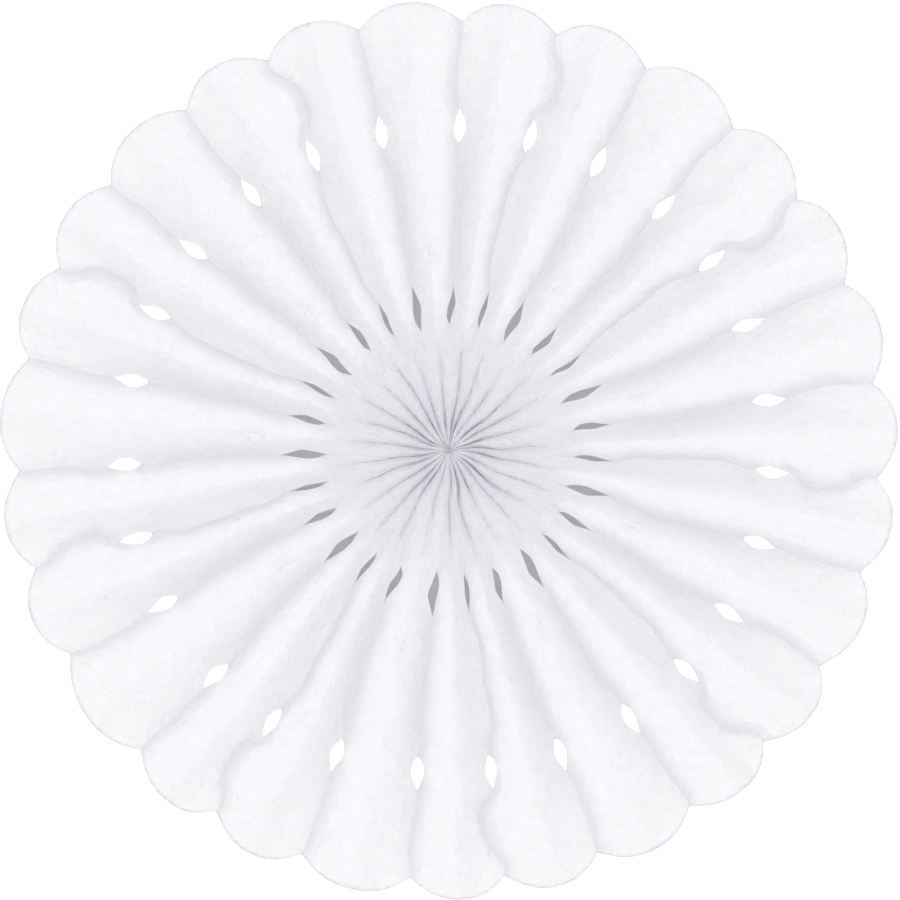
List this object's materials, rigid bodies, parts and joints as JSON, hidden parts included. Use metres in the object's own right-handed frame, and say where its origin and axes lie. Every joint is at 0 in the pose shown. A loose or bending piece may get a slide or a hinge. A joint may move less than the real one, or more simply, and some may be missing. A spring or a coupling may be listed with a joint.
{
  "type": "paper fan rosette",
  "caption": "Round party fan of folded white tissue: radiating pleats, scalloped petal rim, lens-shaped die-cut holes near the rim and a ring of narrow slits round the hub.",
  "frame": {"origin": "centre of the fan, on the plane that the valley folds rest on", "axes": "+Z out of the front, the side with the cut mountain folds on top; +Y through a mountain fold with a slit of middle width"},
  "size_m": [0.4058, 0.4052, 0.0258],
  "materials": {
    "tissue": "matte, finely crinkled, slightly translucent"
  },
  "bodies": {
    "root": {"pleated_tissue": "tissue"}
  },
  "joints": []
}
